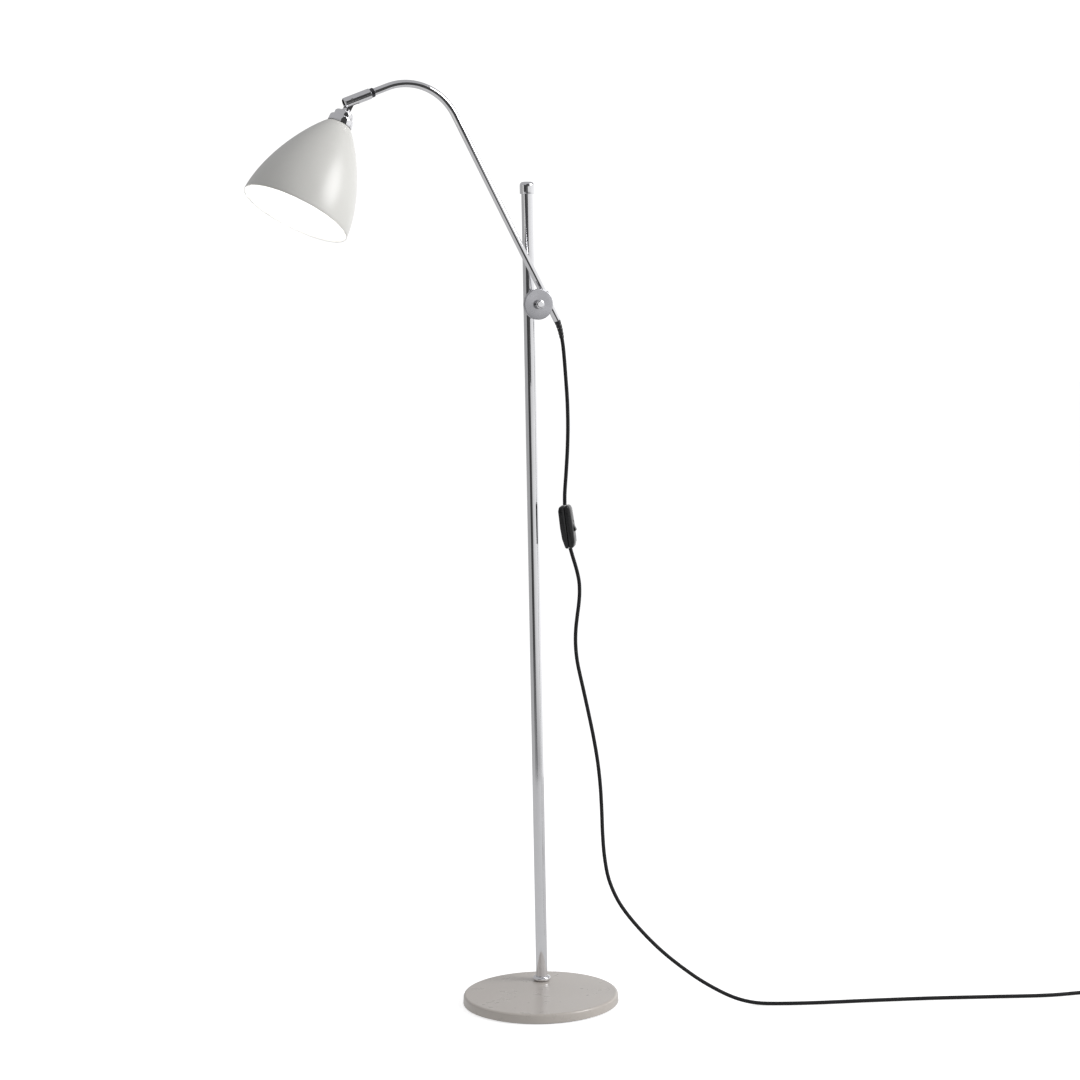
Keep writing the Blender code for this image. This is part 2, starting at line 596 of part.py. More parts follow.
BOOT_STEP = 0.0050
BOOT_POINTS = 6
CORD_ROUTE = [
    TAIL,
    Vector((0.0362, -0.0213, 0.9330)),
    Vector((0.0393, -0.0216, 0.9170)),
    Vector((0.0410, -0.0222, 0.9000)),
    Vector((0.0428, -0.0232, 0.8670)),
    Vector((0.0440, -0.0246, 0.8340)),
    Vector((0.0437, -0.0260, 0.8010)),
    Vector((0.0419, -0.0272, 0.7680)),
    Vector((0.0388, -0.0284, 0.7350)),
    Vector((0.0358, -0.0295, 0.7070)),
    SWITCH_TOP,
]
FLOOR_ROUTE = [
    SWITCH_BOTTOM,
    Vector((0.0442, -0.0336, 0.6190)),
    Vector((0.0492, -0.0345, 0.6010)),
    Vector((0.0524, -0.0354, 0.5840)),
    Vector((0.0526, -0.0362, 0.5680)),
    Vector((0.0508, -0.0369, 0.5520)),
    Vector((0.0478, -0.0376, 0.5350)),
    Vector((0.0452, -0.0384, 0.5180)),
    Vector((0.0440, -0.0392, 0.5010)),
    Vector((0.0444, -0.0401, 0.4840)),
    Vector((0.0464, -0.0410, 0.4670)),
    Vector((0.0530, -0.0430, 0.4330)),
    Vector((0.0595, -0.0450, 0.3990)),
    Vector((0.0655, -0.0470, 0.3650)),
    Vector((0.0702, -0.0490, 0.3310)),
    Vector((0.0723, -0.0521, 0.2972)),
    Vector((0.0715, -0.0576, 0.2637)),
    Vector((0.0689, -0.0657, 0.2297)),
    Vector((0.0677, -0.0745, 0.1979)),
    Vector((0.0702, -0.0837, 0.1682)),
    Vector((0.0805, -0.0965, 0.1370)),
    Vector((0.1011, -0.1137, 0.1044)),
    Vector((0.1291, -0.1337, 0.0712)),
    Vector((0.1641, -0.1560, 0.0399)),
    Vector((0.1908, -0.1718, 0.0215)),
    Vector((0.2124, -0.1848, 0.0104)),
    Vector((0.2325, -0.1958, 0.0046)),
    Vector((0.2530, -0.2060, FLOOR_Z)),
    Vector((0.3061, -0.2286, FLOOR_Z)),
    Vector((0.3868, -0.2542, FLOOR_Z)),
    Vector((0.4665, -0.2808, FLOOR_Z)),
    Vector((0.5433, -0.3103, FLOOR_Z)),
    Vector((0.6190, -0.3388, FLOOR_Z)),
]


def upper_cord():
    """The cord from the arm's tail to the switch, closely spaced."""
    return smooth_route(CORD_ROUTE, BOOT_STEP)


def on_coil(angle, radius, height):
    return COIL_CENTRE + Vector((radius * math.cos(angle), radius * math.sin(angle), height))


def trimmed(route, first, last):
    """The route with its ends pulled in by the given lengths."""
    route = list(route)
    route[0] = route[0] + first * (route[1] - route[0]).normalized()
    route[-1] = route[-1] + last * (route[-2] - route[-1]).normalized()
    return route


def cords(stud_frame, swivel_frame):
    """The free cord: three tubes, a ring where it is coiled and a short tube to the plug."""
    to_stud = frame_matrices[stud_frame.name].inverted()
    to_swivel = frame_matrices[swivel_frame.name].inverted()
    hanging = smooth_route(upper_cord()[BOOT_POINTS - 1:], CORD_STEP)
    tube_along("cord_to_switch", [to_stud @ p for p in trimmed(hanging, GAP, GAP)], CORD_RADIUS,
               stud_frame, BLACK)

    outer_turn = COIL_RADIUS + CORD_RADIUS
    along = Vector((math.sin(COIL_START), -math.cos(COIL_START), 0))
    clear = math.sqrt((COIL_RADIUS + 2 * CORD_RADIUS) ** 2 - COIL_RADIUS ** 2) + GAP
    reach = on_coil(COIL_START, outer_turn, FLOOR_Z) - clear * along
    lower = smooth_route([*FLOOR_ROUTE, reach - 0.03 * along, reach], CORD_STEP)
    split = next(i for i, p in enumerate(lower) if p.z < CORD_SPLIT)
    swinging = [to_swivel @ p for p in trimmed(lower[:split + 1], GAP, GAP / 2)]
    tube_along("cord_below_switch", swinging, CORD_RADIUS, swivel_frame, BLACK)
    tube_along("cord_to_floor", trimmed(lower[split:], GAP / 2, 0), CORD_RADIUS, None, BLACK)

    layers = 3 * 2 * CORD_RADIUS
    corner = 0.0015
    inner, outer = COIL_RADIUS - 2 * CORD_RADIUS, COIL_RADIUS + 2 * CORD_RADIUS
    section = (arc((outer - corner, layers - corner), corner, 90, 0, 1)
               + arc((outer - corner, corner), corner, 0, -90, 1)
               + arc((inner + corner, corner), corner, 270, 180, 1)
               + arc((inner + corner, layers - corner), corner, 180, 90, 1))
    coil = turned("cord_coil", section, None, BLACK, 36)
    coil.location = COIL_CENTRE + Vector((0, 0, 0.0001))

    start = on_coil(0, outer_turn, 5 * CORD_RADIUS) - Vector((0, clear, 0))
    end = PLUG_BACK + Vector((0, GAP, 0))
    tail = smooth_route([start, start - Vector((0, 0.008, 0.001)), end + Vector((0, 0.008, 0)), end], 0.007)
    tube_along("cord_to_plug", tail, CORD_RADIUS, None, BLACK)


PLUG_BACK = COIL_CENTRE + Vector((COIL_RADIUS + CORD_RADIUS, -0.062, PLUG_SIZE.z / 2))


def plug():
    """A generic flat two-pin plug lying on the floor, its pins pointing to -Y."""
    width, length, height = PLUG_SIZE
    x, y, z = PLUG_BACK
    body = block("plug_body", (x - width / 2, y - length, 0.0001), (x + width / 2, y - 0.012, height),
                 None, BLACK, bevel=0.0045, segments=3)
    neck = rod("plug_body_neck", 0.0052, (x, y - 0.016, z), (x, y, z), None, None, 20)
    combine(body, neck, "UNION")
    for name, side in (("plug_pin_1", -1), ("plug_pin_2", 1)):
        pin_x = x + side * 0.0093
        rod(name, 0.0020, (pin_x, y - length - GAP, z), (pin_x, y - length - 0.0190, z), None, BRASS, 14)


def slab(name, outline, half_width, parent, finish=None, bevel=0.0):
    """An outline of (x, z) points swept across Y."""
    bm = bmesh.new()
    face = bm.faces.new([bm.verts.new((x, -half_width, z)) for x, z in outline])
    swept = bmesh.ops.extrude_face_region(bm, geom=[face])
    bmesh.ops.translate(bm, verts=[v for v in swept["geom"] if isinstance(v, bmesh.types.BMVert)],
                        vec=(0, 2 * half_width, 0))
    item = add_mesh(name, bm, parent, finish, smooth=False)
    if bevel:
        modifier = item.modifiers.new("Rounding", "BEVEL")
        modifier.width = bevel
        modifier.segments = 2
    return item


def switch(switch_frame, rocker_frame):
    """Inline rocker switch. In its frame Z runs down the cord and X points out of the rocker's face."""
    half, width = (SWITCH_BOTTOM - SWITCH_TOP).length / 2 - GAP, SWITCH_WIDTH / 2
    front_side = [(0.0060, -half), (0.0082, -half + 0.005), (0.0092, 0.0), (0.0088, half - 0.008),
                  (0.0058, half)]
    back_side = [(-0.0068, -half), (-0.0088, -half + 0.006), (-0.0090, 0.0), (-0.0082, half - 0.014),
                 (-0.0050, half)]
    for name, side, face in (("switch_front", front_side, GAP / 2), ("switch_back", back_side, -GAP / 2)):
        shell = slab(name, [(face, -half), *side, (face, half)], width, switch_frame, BLACK, bevel=0.002)
        inner = [(x - math.copysign(SWITCH_WALL, face), z * (1 - 0.006 / half)) for x, z in side]
        past = -math.copysign(0.002, face)
        hollow = slab(name + "_hollow", [(past, inner[0][1]), *inner, (past, inner[-1][1])],
                      width - 0.002, switch_frame)
        combine(shell, hollow, "DIFFERENCE")
        if name == "switch_front":
            window = block("switch_window", (0, -ROCKER_WIDTH / 2 - GAP, -ROCKER_LENGTH / 2 - GAP),
                           (0.02, ROCKER_WIDTH / 2 + GAP, ROCKER_LENGTH / 2 + GAP), switch_frame)
            combine(shell, window, "DIFFERENCE")
    screw_z = -half + 0.0105
    for number, side in ((1, -1), (2, 1)):
        y = side * 0.0085
        rod(f"switch_screw_{number}", 0.0016, (-0.0055, y, screw_z), (-0.0012, y, screw_z),
            switch_frame, STEEL, 12)
        y = side * 0.0045
        block(f"switch_contact_{number}", (-0.0048, y - 0.002, -0.006), (-0.0018, y + 0.002, 0.014),
              switch_frame, BRASS)

    end = ROCKER_LENGTH / 2
    wedge = [(-0.0025, -end + 0.0012), (0.0006, -end), (0.0026, 0.0), (0.0044, end - 0.0030),
             (0.0040, end - 0.0008), (-0.0025, end - 0.0012)]
    slab("switch_rocker", wedge, ROCKER_WIDTH / 2, rocker_frame, BLACK)


# Assembly ------------------------------------------------------------------------------------

def build():
    clear_scene()
    down = Vector((0, 0, -1))
    slide_frame = axis_frame("slide_axis", (0, 0, CLAMP_Z), (0, 0, 1), (1, 0, 0))
    swivel_frame = axis_frame("swivel_axis", (0, 0, CLAMP_Z), (0, 0, 1), (1, 0, 0), slide_frame)
    stud_frame = axis_frame("stud_axis", (0, 0, CLAMP_Z), (0, -1, 0), (1, 0, 0), swivel_frame)
    below_tip = down - down.dot(TIP_AXIS) * TIP_AXIS
    slot_side = math.cos(SOCKET_TURN) * below_tip.normalized() + math.sin(SOCKET_TURN) * Vector((0, -1, 0))
    tip_frame = axis_frame("tip_axis", BEND_END, TIP_AXIS, slot_side, stud_frame)
    hinge = BEND_END + HINGE_AT * TIP_AXIS
    head_axis = math.cos(HEAD_ANGLE) * TIP_AXIS + math.sin(HEAD_ANGLE) * slot_side
    head_frame = axis_frame("head_axis", hinge, head_axis, slot_side, tip_frame)
    down_cord = SWITCH_BOTTOM - SWITCH_TOP
    facing = Vector((math.cos(SWITCH_FACE), math.sin(SWITCH_FACE), 0))
    middle = SWITCH_TOP.lerp(SWITCH_BOTTOM, 0.5)
    switch_frame = axis_frame("switch_axis", middle, down_cord, facing, swivel_frame)
    place = frame_matrices["switch_axis"] @ Vector((ROCKER_DEPTH, 0, 0))
    rocker_frame = axis_frame("rocker_axis", place, down_cord, facing, switch_frame)

    base()
    pole()
    clamp(slide_frame, swivel_frame, stud_frame)
    knob(stud_frame)
    arm(stud_frame)
    cord_boot(stud_frame)
    tip(tip_frame, stud_frame)
    shade(head_frame)
    lampholder(head_frame)
    switch(switch_frame, rocker_frame)
    cords(stud_frame, swivel_frame)
    plug()


build()
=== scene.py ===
import math

import bmesh
import bpy
from mathutils import Matrix, Vector


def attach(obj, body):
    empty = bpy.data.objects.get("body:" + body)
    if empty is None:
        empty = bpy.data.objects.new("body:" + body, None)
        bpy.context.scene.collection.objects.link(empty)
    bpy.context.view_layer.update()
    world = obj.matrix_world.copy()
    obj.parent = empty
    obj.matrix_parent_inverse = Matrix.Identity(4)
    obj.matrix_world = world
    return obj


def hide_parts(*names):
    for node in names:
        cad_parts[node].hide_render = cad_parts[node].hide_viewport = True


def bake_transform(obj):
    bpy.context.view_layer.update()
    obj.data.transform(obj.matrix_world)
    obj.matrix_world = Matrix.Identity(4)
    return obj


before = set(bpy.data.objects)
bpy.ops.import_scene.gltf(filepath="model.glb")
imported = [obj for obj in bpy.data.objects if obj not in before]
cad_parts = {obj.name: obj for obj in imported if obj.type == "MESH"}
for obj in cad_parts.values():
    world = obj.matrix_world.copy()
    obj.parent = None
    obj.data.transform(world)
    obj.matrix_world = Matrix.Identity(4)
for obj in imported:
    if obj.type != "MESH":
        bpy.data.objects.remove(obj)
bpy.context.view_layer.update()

# The lamp's own frame: metres, the pole's axis at the origin, the floor at z 0. The photograph looks
# along VIEW_YAW, which turns from +Y towards +X.
GAP = 0.0003
VIEW_YAW = 0.3856
CLAMP_Z = 0.9675
ARM_ANGLE = math.radians(62.8)
TIP_ANGLE = math.radians(20.0)
BEND_CENTRE = Vector((-0.179, -0.0212, 1.1871))
BEND_RADIUS = 0.077
TIP_AXIS = Vector((-math.cos(TIP_ANGLE), 0, -math.sin(TIP_ANGLE)))


def placed(origin, z_axis, x_axis):
    """A frame from its origin, its Z axis and a direction near its X axis."""
    z = Vector(z_axis).normalized()
    x = Vector(x_axis)
    x = (x - x.dot(z) * z).normalized()
    place = Matrix((x, z.cross(x), z)).transposed().to_4x4()
    place.translation = origin
    return place


# Camera ---------------------------------------------------------------------------------------

def add_camera():
    yaw, pitch, roll = VIEW_YAW, -0.1125, -0.0186
    forward = Vector((math.sin(yaw) * math.cos(pitch), math.cos(yaw) * math.cos(pitch), math.sin(pitch)))
    level = Vector((math.cos(yaw), -math.sin(yaw), 0))
    upright = level.cross(forward)
    right = level * math.cos(roll) + upright * math.sin(roll)
    data = bpy.data.cameras.new("camera")
    data.lens = 87.0
    data.sensor_width = 36.0
    camera = bpy.data.objects.new("camera", data)
    bpy.context.scene.collection.objects.link(camera)
    camera.matrix_world = placed((-1.3458, -3.3391, 1.0476), -forward, right)
    bpy.context.scene.camera = camera


add_camera()


# Materials ------------------------------------------------------------------------------------
# Every finish reads Object coordinates, which are the lamp's own metres: a scale of 500 is 2 mm.

def add_node(tree, kind, inputs=None, **settings):
    node = tree.nodes.new(kind)
    for key, value in settings.items():
        setattr(node, key, value)
    for key, value in (inputs or {}).items():
        if isinstance(value, bpy.types.NodeSocket):
            tree.links.new(value, node.inputs[key])
        else:
            node.inputs[key].default_value = value
    return node


def finish(name, colour, roughness, metallic=0.0, grain=500, relief=0.1, vary=0.05, wear=0.3, **sockets):
    """A finish with grain in its surface, and patches where it is a little duller and darker."""
    material = bpy.data.materials.new(name)
    material.use_nodes = True
    tree = material.node_tree
    shader = tree.nodes["Principled BSDF"]
    where = add_node(tree, "ShaderNodeTexCoord").outputs["Object"]
    patches = add_node(tree, "ShaderNodeTexNoise",
                       {"Vector": where, "Scale": grain / 14, "Detail": 4.0, "Roughness": 0.6})
    dull = add_node(tree, "ShaderNodeMapRange",
                    {"Value": patches.outputs["Fac"], "From Min": 0.3, "From Max": 0.7,
                     "To Min": roughness * (1 - wear), "To Max": roughness * (1 + wear)})
    shade = add_node(tree, "ShaderNodeValToRGB", {"Fac": patches.outputs["Fac"]})
    for stop, place, share in zip(shade.color_ramp.elements, (0.3, 0.7), (1 - vary, 1 + vary)):
        stop.position = place
        stop.color = (*[min(1.0, c * share) for c in colour], 1)
    grains = add_node(tree, "ShaderNodeTexNoise", {"Vector": where, "Scale": grain, "Detail": 3.0})
    bump = add_node(tree, "ShaderNodeBump",
                    {"Height": grains.outputs["Fac"], "Strength": relief, "Distance": 0.0002})
    tree.links.new(shade.outputs["Color"], shader.inputs["Base Color"])
    tree.links.new(dull.outputs["Result"], shader.inputs["Roughness"])
    tree.links.new(bump.outputs["Normal"], shader.inputs["Normal"])
    shader.inputs["Metallic"].default_value = metallic
    for key, value in sockets.items():
        shader.inputs[key.replace("_", " ")].default_value = value
    return material


def turned_metal(name, colour, roughness, centre):
    """Metal faced on a lathe: fine rings round an axis along Y, which stretch its highlights."""
    material = finish(name, colour, roughness, 1.0, grain=900, relief=0.02, Anisotropic=0.4)
    tree = material.node_tree
    shader = tree.nodes["Principled BSDF"]
    where = add_node(tree, "ShaderNodeTexCoord").outputs["Object"]
    arm = add_node(tree, "ShaderNodeVectorMath", {0: where, 1: centre}, operation="SUBTRACT")
    flat = add_node(tree, "ShaderNodeVectorMath", {0: arm.outputs[0], 1: (1, 0, 1)}, operation="MULTIPLY")
    radius = add_node(tree, "ShaderNodeVectorMath", {0: flat.outputs[0]}, operation="LENGTH")
    along = add_node(tree, "ShaderNodeCombineXYZ", {"X": radius.outputs["Value"]})
    rings = add_node(tree, "ShaderNodeTexNoise", {"Vector": along.outputs[0], "Scale": 4500, "Detail": 2.0})
    bump = add_node(tree, "ShaderNodeBump",
                    {"Height": rings.outputs["Fac"], "Strength": 0.08, "Distance": 0.0001})
    tangent = add_node(tree, "ShaderNodeTangent", direction_type="RADIAL", axis="Y")
    tree.links.new(bump.outputs["Normal"], shader.inputs["Normal"])
    tree.links.new(tangent.outputs["Tangent"], shader.inputs["Tangent"])
    return material


CHROME = finish("bright_chrome", (0.86, 0.86, 0.88), 0.07, 1.0, grain=700, relief=0.003, vary=0.02)
SATIN = turned_metal("turned_chrome", (0.50, 0.50, 0.525), 0.28, (0, 0, CLAMP_Z))
STEEL = finish("zinc_steel", (0.50, 0.50, 0.50), 0.38, 1.0, grain=900, relief=0.1, vary=0.12)
# A darker copy of chrome, for the chrome collar on the arm's end: painted shade standing in for the dark
# reflection band on it.
PAINTED_SHADE_METAL = finish("chrome_with_painted_shade", (0.10, 0.10, 0.11), 0.25, 1.0, grain=900, relief=0.05, vary=0.1)
IRON = finish("raw_iron", (0.07, 0.07, 0.07), 0.7, 0.5, grain=900, relief=0.6, vary=0.3)
BRASS = finish("plain_brass", (0.72, 0.52, 0.22), 0.28, 1.0, grain=900, relief=0.08, vary=0.1)
PAINT = finish("grey_paint", (0.575, 0.53, 0.485), 0.30, grain=650, relief=0.02, vary=0.02, wear=0.15,
               Coat_Weight=0.5, Coat_Roughness=0.10)
ENAMEL = finish("shade_enamel", (0.74, 0.735, 0.70), 0.40, grain=520, relief=0.03, vary=0.015, wear=0.1,
                Coat_Weight=0.5, Coat_Roughness=0.28)
INNER = finish("shade_lining", (0.90, 0.90, 0.89), 0.5, grain=520, relief=0.05, vary=0.015)
PLASTIC = finish("black_plastic", (0.018, 0.018, 0.019), 0.32, grain=1600, relief=0.25, vary=0.2)
SHEATH = finish("cord_sheath", (0.014, 0.014, 0.015), 0.55, grain=1200, relief=0.2, vary=0.2,
                Specular_IOR_Level=0.25)
FELT = finish("dark_felt", (0.05, 0.05, 0.05), 0.95, grain=2500, relief=1.0, vary=0.4, Sheen_Weight=0.4)
NYLON = finish("nylon", (0.70, 0.69, 0.65), 0.5, grain=900, relief=0.1)
CERAMIC = finish("holder_body", (0.80, 0.79, 0.75), 0.3, grain=700, relief=0.05)
GLASS = finish("opal_glass", (0.95, 0.94, 0.91), 0.25, grain=300, relief=0.02, vary=0.01,
               Emission_Color=(1.0, 0.98, 0.95, 1), Emission_Strength=12.0)


# Making pieces --------------------------------------------------------------------------------

UPRIGHT = Matrix.Identity(4)


def add_piece(name, bm, place, material, smooth_angle=38):
    """A mesh object in the lamp's own coordinates, smooth except at its sharp edges."""
    mesh = bpy.data.meshes.new(name)
    bmesh.ops.recalc_face_normals(bm, faces=bm.faces)
    bm.to_mesh(mesh)
    bm.free()
    mesh.transform(place)
    mesh.shade_smooth()
    mesh.set_sharp_from_angle(angle=math.radians(smooth_angle))
    mesh.materials.append(material)
    piece = bpy.data.objects.new(name, mesh)
    bpy.context.scene.collection.objects.link(piece)
    return piece


def stand_for(piece, body, *nodes):
    """The piece shows in place of CAD nodes, and rides on the given body, if one is given."""
    if body:
        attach(piece, body)
    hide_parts(*nodes)
    return piece


def arc(centre, radius, start, end, steps):
    """Points on an arc in a profile's plane, angles in degrees from the +radius direction."""
    angles = [math.radians(start + (end - start) * i / steps) for i in range(steps + 1)]
    return [(centre[0] + radius * math.cos(a), centre[1] + radius * math.sin(a)) for a in angles]


def turned(profile, segments=96, closed=False):
    """A bmesh of a profile of (radius, height) points turned about Z."""
    bm = bmesh.new()
    verts = [bm.verts.new((radius, 0.0, height)) for radius, height in profile]
    pairs = list(zip(verts, verts[1:]))
    if closed:
        pairs.append((verts[-1], verts[0]))
    edges = [bm.edges.new(pair) for pair in pairs]
    bmesh.ops.spin(bm, geom=verts + edges, cent=(0, 0, 0), axis=(0, 0, 1), angle=2 * math.pi,
                   steps=segments, use_merge=True)
    bmesh.ops.remove_doubles(bm, verts=bm.verts, dist=1e-6)
    return bm


def refined(node, body, material, bevel=0.0):
    """A welded copy of a CAD node, smooth where it is round, with its edges just broken."""
    bm = bmesh.new()
    bm.from_mesh(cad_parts[node].data)
    bmesh.ops.remove_doubles(bm, verts=bm.verts, dist=1e-6)
    bmesh.ops.dissolve_limit(bm, angle_limit=math.radians(0.5), verts=bm.verts, edges=bm.edges)
    piece = add_piece("fine_" + node, bm, UPRIGHT, material)
    if bevel:
        edge = piece.modifiers.new("Broken_edges", "BEVEL")
        edge.width = bevel
        edge.segments = 2
        edge.limit_method = "ANGLE"
        edge.angle_limit = math.radians(38)
    return stand_for(piece, body, node)


def smooth_route(points, step):
    """Evenly spaced points on a smooth curve through the given ones."""
    points = [Vector(p) for p in points]
    ends = [points[0] * 2 - points[1], *points, points[-1] * 2 - points[-2]]
    fine = []
    for before, a, b, after in zip(ends, ends[1:], ends[2:], ends[3:]):
        span = (b - a).length
        leave = (b - before) * span / ((b - a).length + (a - before).length)
        arrive = (after - a) * span / ((b - a).length + (after - b).length)
        for i in range(24):
            t = i / 24
            fine.append(a * (2 * t**3 - 3 * t**2 + 1) + leave * (t**3 - 2 * t**2 + t)
                        + b * (3 * t**2 - 2 * t**3) + arrive * (t**3 - t**2))
    fine.append(points[-1])
    lengths = [0.0]
    for a, b in zip(fine, fine[1:]):
        lengths.append(lengths[-1] + (b - a).length)
    count = max(2, round(lengths[-1] / step))
    route, k = [], 0
    for i in range(count + 1):
        goal = lengths[-1] * i / count
        while k < len(fine) - 2 and lengths[k + 1] < goal:
            k += 1
        share = (goal - lengths[k]) / (lengths[k + 1] - lengths[k])
        route.append(fine[k].lerp(fine[k + 1], share))
    return route


def tube(route, radii, sides=16):
    """A bmesh tube round a route, one radius for each point, with flat ends."""
    bm = bmesh.new()
    ahead = (route[1] - route[0]).normalized()
    side = ahead.orthogonal().normalized()
    rings = []
    for i, point in enumerate(route):
        last = ahead
        ahead = (route[min(i + 1, len(route) - 1)] - route[max(i - 1, 0)]).normalized()
        side = last.rotation_difference(ahead) @ side
        side = (side - side.dot(ahead) * ahead).normalized()
        up = ahead.cross(side)
        turns = [2 * math.pi * k / sides for k in range(sides)]
        rings.append([bm.verts.new(point + radii[i] * (math.cos(a) * side + math.sin(a) * up))
                      for a in turns])
    for low, high in zip(rings, rings[1:]):
        for k in range(sides):
            bm.faces.new((low[k], low[(k + 1) % sides], high[(k + 1) % sides], high[k]))
    bm.faces.new(rings[0][::-1])
    bm.faces.new(rings[-1])
    return bm


# Cords ----------------------------------------------------------------------------------------

CORD_RADIUS = 0.0026
FLOOR_Z = CORD_RADIUS + 0.0001
TAIL = Vector((0.03230, -0.0212, 0.94436))
SWITCH_TOP = Vector((0.0352, -0.0300, 0.6900))
SWITCH_BOTTOM = Vector((0.0410, -0.0330, 0.6310))
COIL_CENTRE = Vector((0.699, -0.390, 0.0))
COIL_RADIUS = 0.030
COIL_START = math.radians(73.0)
SPLIT_Z = 0.45
HANGING_STEP = 0.0025
FLOOR_STEP = 0.0033
BOOT_LENGTH = 0.025
PLUG_BACK = COIL_CENTRE + Vector((COIL_RADIUS + CORD_RADIUS, -0.062, 0.00685))

CORD_ROUTE = [
    TAIL,
    (0.0362, -0.0213, 0.9330),
    (0.0393, -0.0216, 0.9170),
    (0.0410, -0.0222, 0.9000),
    (0.0428, -0.0232, 0.8670),
    (0.0440, -0.0246, 0.8340),
    (0.0437, -0.0260, 0.8010),
    (0.0419, -0.0272, 0.7680),
    (0.0388, -0.0284, 0.7350),
    (0.0358, -0.0295, 0.7070),
    SWITCH_TOP,
]
FLOOR_ROUTE = [
    SWITCH_BOTTOM,
    (0.0442, -0.0336, 0.6190),
    (0.0492, -0.0345, 0.6010),
    (0.0524, -0.0354, 0.5840),
    (0.0526, -0.0362, 0.5680),
    (0.0508, -0.0369, 0.5520),
    (0.0478, -0.0376, 0.5350),
    (0.0452, -0.0384, 0.5180),
    (0.0440, -0.0392, 0.5010),
    (0.0444, -0.0401, 0.4840),
    (0.0464, -0.0410, 0.4670),
    (0.0530, -0.0430, 0.4330),
    (0.0595, -0.0450, 0.3990),
    (0.0655, -0.0470, 0.3650),
    (0.0702, -0.0490, 0.3310),
    (0.0723, -0.0521, 0.2972),
    (0.0715, -0.0576, 0.2637),
    (0.0689, -0.0657, 0.2297),
    (0.0677, -0.0745, 0.1979),
    (0.0702, -0.0837, 0.1682),
    (0.0805, -0.0965, 0.1370),
    (0.1011, -0.1137, 0.1044),
    (0.1291, -0.1337, 0.0712),
    (0.1641, -0.1560, 0.0399),
    (0.1908, -0.1718, 0.0215),
    (0.2124, -0.1848, 0.0104),
    (0.2325, -0.1958, 0.0046),
    (0.2530, -0.2060, FLOOR_Z),
    (0.3061, -0.2286, FLOOR_Z),
    (0.3868, -0.2542, FLOOR_Z),
    (0.4665, -0.2808, FLOOR_Z),
    (0.5433, -0.3103, FLOOR_Z),
    (0.6190, -0.3388, FLOOR_Z),
]


def coil_points():
    """The coiled lead: turns beside and on each other, each change of lane clear of the one before."""
    d = 2 * CORD_RADIUS
    lanes = [(1, 0), (0, 0), (0, 1), (1, 1), (1, 2)]
    total, width, first, every = 360 * 4 + 73, 44, 296, 316
    points = []
    for angle in range(0, total + 1, 6):
        crossed = min(max(0, (angle - first) // every + 1), len(lanes) - 1)
        share = 0.0
        if 1 <= crossed:
            share = min(1.0, (angle - first - (crossed - 1) * every) / width)
            share = share * share * (3 - 2 * share)
        before, after = lanes[max(0, crossed - 1)], lanes[crossed]
        column = before[0] + (after[0] - before[0]) * share
        layer = before[1] + (after[1] - before[1]) * share
        radius = COIL_RADIUS + (column - 0.5) * d
        turn = COIL_START - math.radians(angle)
        points.append(COIL_CENTRE + Vector((radius * math.cos(turn), radius * math.sin(turn),
                                            FLOOR_Z + layer * d)))
    return points


def add_cord(name, route, nodes):
    """A lead along a route, shown in place of the given CAD nodes and attached to no body."""
    piece = add_piece(name, tube(route, [CORD_RADIUS] * len(route)), UPRIGHT, SHEATH, 60)
    stand_for(piece, None, *nodes)
    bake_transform(piece)
    return piece


hanging = smooth_route(CORD_ROUTE, HANGING_STEP)
boot_points = round(BOOT_LENGTH / HANGING_STEP)
upper = hanging[boot_points:]
upper[0] = upper[0].lerp(upper[1], 0.12)
upper[-1] = upper[-1].lerp(upper[-2], 0.12)
cord_upper = add_cord("lead_to_switch", upper, ["cord_to_switch"])

coil = coil_points()
approach = Vector((math.sin(COIL_START), -math.cos(COIL_START), 0))
leave = PLUG_BACK + Vector((0, 0.009, 0))
far = smooth_route([*FLOOR_ROUTE, coil[0] - 0.03 * approach, *coil[::2],
                    coil[-1] + Vector((0, -0.012, -0.0006)), leave, PLUG_BACK + Vector((0, GAP, 0))],
                   FLOOR_STEP)
cut = next(i for i, p in enumerate(far) if p.z < SPLIT_Z)
middle, lower = far[:cut + 1], far[cut:]
middle[0] = middle[0].lerp(middle[1], 0.1)
cord_middle = add_cord("lead_below_switch", middle, ["cord_below_switch"])
cord_lower = add_cord("lead_to_plug", lower,
                      ["cord_to_floor", "cord_coil", "cord_to_plug"])


# Switch and plug ------------------------------------------------------------------------------

SWITCH_FACES = math.radians(-30.0)
SEAM_SHUT = 0.97


def close_seam(*shells):
    """Brings the switch's two halves together where they meet, so that only a hairline shows."""
    down = (SWITCH_BOTTOM - SWITCH_TOP).normalized()
    facing = Vector((math.cos(SWITCH_FACES), math.sin(SWITCH_FACES), 0))
    facing = (facing - facing.dot(down) * down).normalized()
    middle = SWITCH_TOP.lerp(SWITCH_BOTTOM, 0.5)
    for shell in shells:
        for vertex in shell.data.vertices:
            height = (vertex.co - middle).dot(facing)
            if abs(height) < GAP:
                vertex.co -= SEAM_SHUT * height * facing


shell_front = refined("switch_front", "clamp", PLASTIC, 0.00015)
shell_back = refined("switch_back", "clamp", PLASTIC, 0.00015)
rocker = refined("switch_rocker", "rocker", PLASTIC, 0.0004)
plug_body = refined("plug_body", "stand", PLASTIC, 0.0003)
plug_pins = [refined(f"plug_pin_{k}", "stand", BRASS, 0.0004) for k in (1, 2)]
on_switch = [shell_front, shell_back]
close_seam(*on_switch)


